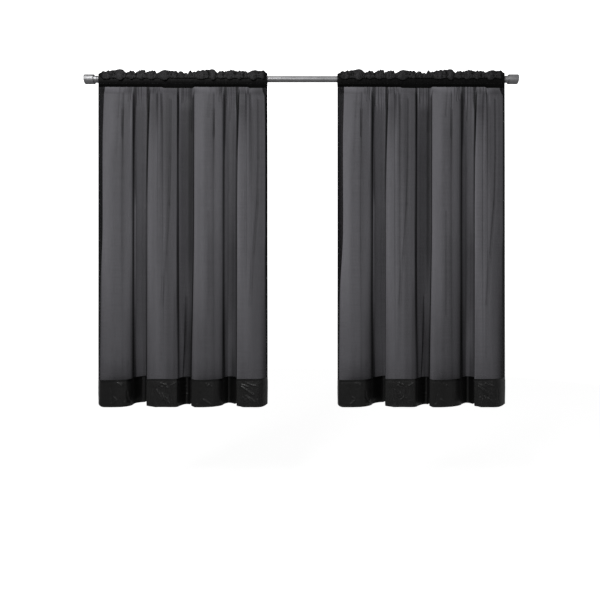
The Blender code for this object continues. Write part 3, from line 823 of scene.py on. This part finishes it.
def brushed_metal(name, rough_low):
    """Satin metal with fine brush lines and faint smudges."""
    tree, place = material_tree(name)
    lines = tree.add("Mapping", {"Vector": place, "Scale": BRUSH}).outputs[0]
    brush = tree.noise(lines, 1.0, 3.0)
    smudge = tree.noise(place, 22.0, 4.0)
    rough = tree.math(
        "ADD",
        tree.mapped(brush, *SPREAD, rough_low, rough_low + ROUGH_BRUSH),
        tree.mapped(smudge, *SPREAD, *ROUGH_SMUDGE),
    )
    shader = tree.add(
        "BsdfPrincipled",
        {
            "Base Color": tree.blend(tree.mapped(smudge, 0.35, 0.7), METAL_DARK, METAL_LIGHT),
            "Metallic": 1.0,
            "Roughness": rough,
            "Normal": tree.bump(0.12, 0.0001, brush),
        },
    )
    return tree.finish(Surface=shader.outputs[0])


# Panels


def row_places():
    """Distances down from the pocket of the sheet's rows, closer together near the top."""
    downs, spacings = zip(*ROW_TABLE)
    length = POCKET_BOTTOM - HEM_TOP
    places = [0.0]
    while places[-1] < length:
        places.append(places[-1] + float(np.interp(places[-1], downs, spacings)))
    return np.array(places) / places[-1]


def sheer_grid(width, left):
    """The sheer part of a panel: its points, their places on the flat cloth, and its painted
    shade there, which also raises the share of light that the threads stop."""
    columns, along = fold_columns(width)
    scale = width / PATTERN_WIDTH
    pocket_low = column_of(POCKET_LOW, columns[:, 0] / scale)
    hem_line = HEM_TOP + column_of(HEM_LINE, columns[:, 2] / scale)
    heights = mix(pocket_low + TUCK_HIGH, hem_line - TUCK_LOW, row_places()[:, None])
    points = plan_grid(columns, heights, left, pocket_low)
    across = between(*columns.T[:3], drop_at(heights)) / scale
    down = pocket_low - heights
    creases = line_field(across, down, CREASES)
    depth = MM * creases + ripple_field(across, down)
    cloth = np.broadcast_to(along, heights.shape)
    for grain, deep, fade in SHEER_NOISE:
        depth = depth + deep * noise_at(grain, cloth, down) * smooth(down / fade)
    normals = grid_normals(points)
    facing = smooth(np.abs(normals[:, :, 1]) / FACING)
    firm = smooth(np.minimum(along, along[-1] - along) / FIRM_EDGE)
    points = points - normals * (depth * facing * firm)[:, :, None]
    # Painted shade: the bands, and the creases darker for their depth.
    close_and_shade = shade_band_field(across, down) + CREASE_SHADE * np.maximum(creases, 0.0)
    return points, flat_uv(cloth, down), close_and_shade.ravel()


def hem_grid(width, left):
    """The same of the bottom hem, with its wrinkles."""
    columns, along = fold_columns(width)
    places = columns[:, 2] * PATTERN_WIDTH / width
    hem_line = HEM_TOP + column_of(HEM_LINE, places)
    edge = HEM_BOTTOM - HEM_DROP + column_of(HEM_LIFT, places)
    heights = mix(hem_line, edge, np.linspace(0.0, 1.0, round(HEM_DEPTH / HEM_ROW) + 1)[:, None])
    points = plan_grid(columns, heights, left, POCKET_BOTTOM)
    across = np.broadcast_to(places, heights.shape)
    cloth = np.broadcast_to(along, heights.shape)
    up = heights - HEM_BOTTOM
    below = hem_line - heights
    bent = [at + HEM_BEND * noise_at(grain, across, up) for at, grain in zip((across, up), BENDS)]
    middle = smooth(up / HEM_FIRM) * smooth(below / HEM_FIRM)
    depth = (
        HEM_CREASE_DEPTH * line_field(*bent, HEM_CREASES)
        + SEAM_DENT * hill(below, *SEAM_PLACE)
        - EDGE_RIDGE * hill(up, 0.0, EDGE_WIDTH)
        + HEM_CRUMPLE_DEPTH * noise_at(HEM_CRUMPLE, cloth, up, crumple) * middle
        + HEM_SWAY_DEPTH * noise_at(HEM_SWAY, cloth, up) * middle
    )
    points = points - grid_normals(points) * depth[:, :, None]
    # Painted shade along the hem's upper line and in bands across it.
    close_and_shade = HEM_LINE_SHADE * hill(below, *HEM_LINE_PLACE)
    for x, half_width, share in HEM_SHADE_BANDS:
        close_and_shade = close_and_shade + share * PER_MILLE * hill(across / MM, x, half_width, FLAT_TOP)
    return points, flat_uv(cloth, POCKET_BOTTOM - heights), close_and_shade.ravel()


def side_hem_grids(points):
    """The two turned side hems behind a sheet's free edges: strips a fixed way along it."""
    strips = []
    behind = points - grid_normals(points) * (VOILE_SHEET + SIDE_HEM_SHEET) * BEHIND
    for grid in (behind, behind[:, ::-1]):
        rows = []
        for line, reach in zip(grid, reach_along(grid, 1)):
            wide = SIDE_HEM if strips else column_of(OUTER_HEM, -line[0, 2])
            rows.append(points_at(np.linspace(SIDE_HEM_IN, wide, SIDE_COLUMNS), reach, line))
        strips.append(np.array(rows))
    return strips[0], strips[1][:, ::-1]


def puff_profile(x):
    """Along the heading: how far it swells, the wave of its pleats, and its crumple."""
    swell = np.zeros_like(x)
    pleat = np.zeros_like(x)
    rough = np.full_like(x, BETWEEN_CRUMPLE)
    for x0, x1, high, pleats, crumpled in PUFFS:
        share = (x - x0 * MM) / ((x1 - x0) * MM)
        inside = (share > 0.0) & (share < 1.0)
        arch = np.sin(math.pi * np.clip(share, 0.0, 1.0)) ** PUFF_ROUND
        swell = np.maximum(swell, high * arch)
        pleat = np.where(inside, arch * np.sin(TURN * pleats * share - PLEAT_START), pleat)
        rough = np.where(inside, crumpled, rough)
    return swell, pleat, rough


def heading_grid(width, left):
    """The same of the rod pocket and the ruffled heading, from the lower seam at the back,
    over the top edge, to the lower seam in front."""
    count = round(width / HEADING_PITCH) + 1
    pattern = np.linspace(FOLDS[0][0], FOLDS[-1][0], count) * MM
    from_end = np.minimum(pattern - pattern[0], pattern[-1] - pattern)
    ends = smooth(from_end / HEADING_END)
    swell, pleat, rough = (values * ends for values in puff_profile(pattern))
    hang = np.maximum(swell, LEAST_HANG * ends)
    spikes = noise_at(SPIKES, pattern, 0.5)
    top = column_of(RUFFLE, pattern) + RUFFLE_LIFT + SPIKE_HEIGHT * spikes * rough
    low = column_of(POCKET_LOW, pattern)
    back_swell = np.clip(mix(noise_at(BACK_PUFFS, pattern, 0.0), 1.0, BACK_MEAN), 0.0, 1.0)
    lines = []
    for i, (y_flat, z_flat, y_puff, z_puff, share) in enumerate(SECTION):
        puff = back_swell
        if i >= TOP_EDGE:
            puff = swell if i < UNDERSIDE else hang
        y = mix(y_flat, y_puff, puff) * MM
        z = mix(z_flat, z_puff, puff) * MM
        if share > 0.0:
            z = mix(SEAM_HEIGHT * MM, top, share)
        if i in (0, len(SECTION) - 1):
            z = low
        lean = 1.0 + np.minimum(y, 0.0) / FAN_DISTANCE
        lines.append(np.stack(((left + pattern * width / PATTERN_WIDTH) * lean, y, z), axis=1))
    knots = np.array(lines).reshape(len(SECTION), -1)
    legs = len(SECTION) - 1
    points = smooth_columns(knots, np.ones(legs), [SECTION_STEPS] * legs).reshape(-1, count, 3)
    level = np.arange(len(points))[:, None] / SECTION_STEPS
    across = np.broadcast_to(pattern, points.shape[:2])
    section = reach_along(points)
    heading = hill(level, *RUFFLE_LEVELS, FLAT_TOP)
    seams = sum(hill(level, *levels, FLAT_TOP) for levels in POCKET_LEVELS)
    lumps = noise_at(LUMPS, across, section, crumple)
    fine = noise_at(FINE_LUMPS, across, section, crumple)
    depth = (
        -PLEAT_DEPTH * pleat * heading
        - LUMP_DEPTH * lumps * rough * heading
        - FINE_DEPTH * fine * mix(FINE_LEAST, 1.0, rough) * heading * ends
        + TUCK_DEPTH * noise_at(TUCKS, across, section) * seams
        + SOFT_DEPTH * noise_at(SOFT, across, section)
    )
    points = points - grid_normals(points) * depth[:, :, None]
    # Extra layers and painted shade in the pocket and side hems; painted shade in the crumple's
    # valleys and between puffs.
    pocket = np.maximum(smooth(level - UPPER_SEAM + 1.5), smooth(BACK_SEAM + 1.0 - level))
    hem = smooth(1.5 - from_end / SIDE_HEM)
    relief = lumps + 0.5 * fine
    valley = smooth(0.5 - 0.45 * (relief - relief.mean()) / relief.std())
    shade = heading * (VALLEY_SHADE * valley + FLAT_SHADE * (1.0 - swell) * (0.5 + valley))
    close_and_shade = POCKET_LAYERS_AND_SHADE * np.minimum(np.maximum(np.maximum(pocket, hem), shade), 1.0)
    return points, flat_uv(across * FINISHED_WIDTH / PATTERN_WIDTH, section), close_and_shade.ravel()


STITCH_PITCH = 0.0042
STITCH_LENGTH = 0.0030
STITCH_INSET = 0.002  # from a side hem's inner edge
FRONT_STITCHES = 1.35  # the pocket's lower row, up from its seam, in points of SECTION
THREAD_RADIUS = 0.00022
STITCH_SIDES = 5
PROUD = 0.6  # a stitch's middle stands this many radii above the cloth
# A stitch along its length: share of the length, share of the radius, and sunk by this
# many radii
STITCH_RINGS = ((0.0, 0.3, 1.6), (0.22, 1.0, 0.0), (0.78, 1.0, 0.0), (1.0, 0.3, 1.6))


def stitches(line, normals):
    """Points and faces of one row of stitches along a line on the cloth's face."""
    reach = reach_along(line)
    starts = np.arange(STITCH_PITCH, reach[-1] - STITCH_PITCH, STITCH_PITCH)
    first = points_at(starts, reach, line)
    last = points_at(starts + STITCH_LENGTH, reach, line)
    normal = points_at(starts + STITCH_LENGTH / 2.0, reach, normals)
    side = np.cross(last - first, normal)
    side /= np.linalg.norm(side, axis=1, keepdims=True)
    rings = []
    for share, radius, sunk in STITCH_RINGS:
        centre = mix(first, last, share) + normal * THREAD_RADIUS * (PROUD - sunk)
        for step in range(STITCH_SIDES):
            angle = TURN * step / STITCH_SIDES
            swing = normal * math.cos(angle) + side * math.sin(angle)
            rings.append(centre + swing * THREAD_RADIUS * radius)
    verts = np.stack(rings, axis=1)
    index = np.arange(len(rings)).reshape(-1, STITCH_SIDES)
    beside = np.roll(index, -1, axis=1)
    one = np.stack((index[:-1], index[1:], beside[1:], beside[:-1]), axis=2).reshape(-1, 4)
    faces = one + (np.arange(len(verts)) * len(rings))[:, None, None]
    return verts.reshape(-1, 3), faces.reshape(-1, 4)


def build_stitches(name, seams, finish):
    """All of a panel's stitches as one mesh."""
    all_verts = []
    all_faces = []
    count = 0
    for (line, normals), thickness in seams:
        verts, faces = stitches(line + normals * thickness / 2.0, normals)
        all_verts.append(verts)
        all_faces.append(faces + count)
        count += len(verts)
    return add_mesh(name, np.concatenate(all_verts), np.concatenate(all_faces), finish)


def row_on(points, row):
    """The line along a grid's row, and its normals."""
    return points[row], grid_normals(points)[row]


def column_at(points, reach, from_right):
    """The line down a grid at a fixed way along the cloth from one free edge, and normals."""
    normals = grid_normals(points)
    if from_right:
        points = points[:, ::-1]
        normals = normals[:, ::-1]
    line = []
    facing = []
    for row, row_normals, far in zip(points, normals, reach_along(points, 1)):
        line.append(points_at(reach, far, row))
        facing.append(points_at(reach, far, row_normals))
    return np.array(line), np.array(facing)


def build_panel(side, left, width, finishes):
    """One dressed panel, which stands for its solid."""
    node = "panel_" + side
    sheer = sheer_grid(width, left)
    hem = hem_grid(width, left)
    heading = heading_grid(width, left)
    sheet = shell("voile_" + side, VOILE_SHEET, finishes["sheer"], *sheer)
    pieces = [
        shell("bottom_hem_" + side, HEM_SHEET, finishes["hem"], *hem),
        shell("heading_" + side, HEADING_SHEET, finishes["heading"], *heading),
    ]
    for edge, strip in zip(("outer", "inner"), side_hem_grids(sheer[0])):
        across = np.broadcast_to(np.linspace(0.0, SIDE_HEM, SIDE_COLUMNS), strip.shape[:2])
        uv = flat_uv(across, -strip[:, :, 2])
        name = "side_hem_" + side + "_" + edge
        pieces.append(shell(name, SIDE_HEM_SHEET, finishes["side"], strip, uv))
    front_seam = len(heading[0]) - 1 - round(FRONT_STITCHES * SECTION_STEPS)
    seams = [
        (column_at(sheer[0], SIDE_HEM - STITCH_INSET, False), VOILE_SHEET),
        (column_at(sheer[0], SIDE_HEM - STITCH_INSET, True), VOILE_SHEET),
        (row_on(hem[0], 1), HEM_SHEET),
        (row_on(heading[0], front_seam), HEADING_SHEET),
    ]
    pieces.append(build_stitches("stitches_" + side, seams, finishes["thread"]))
    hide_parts(node)


# Rod and finials

ROD_WALL = 0.0010
ROD_EDGE = 0.0003
EDGE_STEPS = 4


def rounded(corner_x, corner_r, radius, towards_x):
    """The points of a small quarter round at an outer corner of a turned outline."""
    points = []
    for step in range(EDGE_STEPS + 1):
        angle = 0.5 * math.pi * step / EDGE_STEPS
        dx = radius * (1.0 - math.sin(angle))
        dr = radius * (1.0 - math.cos(angle))
        points.append((corner_x + towards_x * dx, corner_r - dr))
    return points


def build_rod(finish):
    """The plain round tube, finer than its solid."""
    low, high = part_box("rod")
    profile = [
        (low.x, high.z - ROD_WALL),
        *reversed(rounded(low.x, high.z, ROD_EDGE, 1.0)),
        *rounded(high.x, high.z, ROD_EDGE, -1.0),
        (high.x, high.z - ROD_WALL),
    ]
    rod = turned("rod_tube", profile, finish)
    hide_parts("rod")


FINIAL_RADIUS = 0.0223
FINIAL_START = 0.9925
FINIAL_EDGE = 0.0015
COLLAR_RADIUS = 0.0162
COLLAR_LENGTH = 0.0150
COLLAR_EDGE = 0.0008
FIT_GAP = 0.0003


def build_finial(side, towards, finish):
    """The cylindrical cap whose collar slips over the rod's end, finer than its solid."""
    node = "finial_" + side
    end = max(abs(corner.x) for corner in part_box(node))
    rod_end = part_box("rod")[1]
    seat = rod_end.x + FIT_GAP
    bore = rod_end.z + FIT_GAP
    mouth = FINIAL_START - COLLAR_LENGTH
    profile = [
        (seat, 0.0),
        (seat, bore),
        (mouth, bore),
        *reversed(rounded(mouth, COLLAR_RADIUS, COLLAR_EDGE, 1.0)),
        (FINIAL_START, COLLAR_RADIUS),
        *reversed(rounded(FINIAL_START, FINIAL_RADIUS, FINIAL_EDGE, 1.0)),
        *rounded(end, FINIAL_RADIUS, FINIAL_EDGE, -1.0),
        (end, 0.0),
    ]
    finial = turned("end_cap_" + side, [(towards * x, radius) for x, radius in profile], finish)
    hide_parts(node)


LIGHTS = (
    # name, place, aimed at, width and height, power in watts
    ("key", (-1.4, -2.5, 1.0), (-0.1, 0.0, -0.4), (1.6, 1.2), 50.0),
    ("front", (0.6, -3.2, -0.4), (0.0, 0.0, -0.6), (3.6, 1.4), 12.0),
    ("top", (0.0, -1.1, 1.35), (0.0, 0.0, 0.0), (2.8, 1.3), 2.8),
)
# The world's brightness between two heights, as the Z of a direction
DOME = (-0.2, 0.9, 0.19, 0.22)
BACKDROP = (-0.11, 0.14, 1.02, 1.74)
FLOOR_DARK = (0.80, 0.80, 0.80, 1.0)
FLOOR_LIGHT = (0.84, 0.84, 0.84, 1.0)
FLOOR_GLOW = 0.80


def build_studio():
    """Floor, world and lights."""
    bpy.ops.mesh.primitive_circle_add(
        vertices=96, radius=FLOOR_RADIUS, fill_type="NGON", location=(0.0, 0.0, FLOOR_HEIGHT)
    )
    floor = bpy.context.object
    floor.name = "floor"
    tree, place = material_tree("pale_floor")
    cloud = tree.noise(place, 1.5)
    shader = tree.add(
        "BsdfPrincipled",
        {
            "Base Color": tree.blend(cloud, FLOOR_DARK, FLOOR_LIGHT),
            "Roughness": 0.9,
            "Emission Color": WHITE,
            "Emission Strength": FLOOR_GLOW,
        },
    )
    floor.data.materials.append(tree.finish(Surface=shader.outputs[0]))
    floor.visible_diffuse = False
    floor.visible_glossy = False
    build_world()
    for light in LIGHTS:
        add_light(*light)


def add_light(name, place, target, size, power):
    """A soft rectangular light, itself unseen by the camera."""
    data = bpy.data.lights.new(name, "AREA")
    data.shape = "RECTANGLE"
    data.size, data.size_y = size
    data.energy = power
    light = bpy.data.objects.new(name, data)
    light.location = place
    aim = Vector(target) - Vector(place)
    light.rotation_euler = aim.to_track_quat("-Z", "Y").to_euler()
    light.visible_camera = False
    bpy.context.scene.collection.objects.link(light)


def build_world():
    """A white backdrop, brighter higher up, over a dimmer dome that lights the object."""
    world = bpy.data.worlds.new("studio")
    bpy.context.scene.world = world
    tree = Tree(world)
    around = tree.add("TexCoord").outputs["Generated"]
    height = tree.add("SeparateXYZ", {0: around}).outputs[2]
    dome, backdrop = (
        tree.mapped(height, *values, interpolation_type="SMOOTHSTEP")
        for values in (DOME, BACKDROP)
    )
    seen = tree.add("LightPath").outputs["Is Camera Ray"]
    strength = tree.add("Mix", {0: seen, 2: dome, 3: backdrop}).outputs[0]
    shine = tree.add("Background", {"Color": WHITE, "Strength": strength})
    tree.add("OutputWorld", {0: shine.outputs[0]})


def build_camera():
    """The photograph's view: level, square on to the rod."""
    data = bpy.data.cameras.new("camera")
    data.sensor_width = SENSOR
    data.lens = SENSOR * -CAMERA_PLACE[1] / (PHOTO_WIDTH * PIXEL)
    camera = bpy.data.objects.new("camera", data)
    camera.location = CAMERA_PLACE
    camera.rotation_euler = (math.radians(90.0), 0.0, 0.0)
    bpy.context.scene.collection.objects.link(camera)
    bpy.context.scene.camera = camera


def build():
    """Builds the whole scene."""
    build_camera()
    bpy.context.scene.view_settings.view_transform = "Standard"
    cap_metal = brushed_metal("cap_metal", 0.46)
    build_rod(brushed_metal("rod_metal", 0.38))
    build_finial("left", -1.0, cap_metal)
    build_finial("right", 1.0, cap_metal)
    finishes = {piece: voile(*values) for piece, *values in CLOTHS}
    finishes["thread"] = thread("thread")
    for side, (left, width) in PANELS.items():
        build_panel(side, left, width, finishes)
    build_studio()


build()
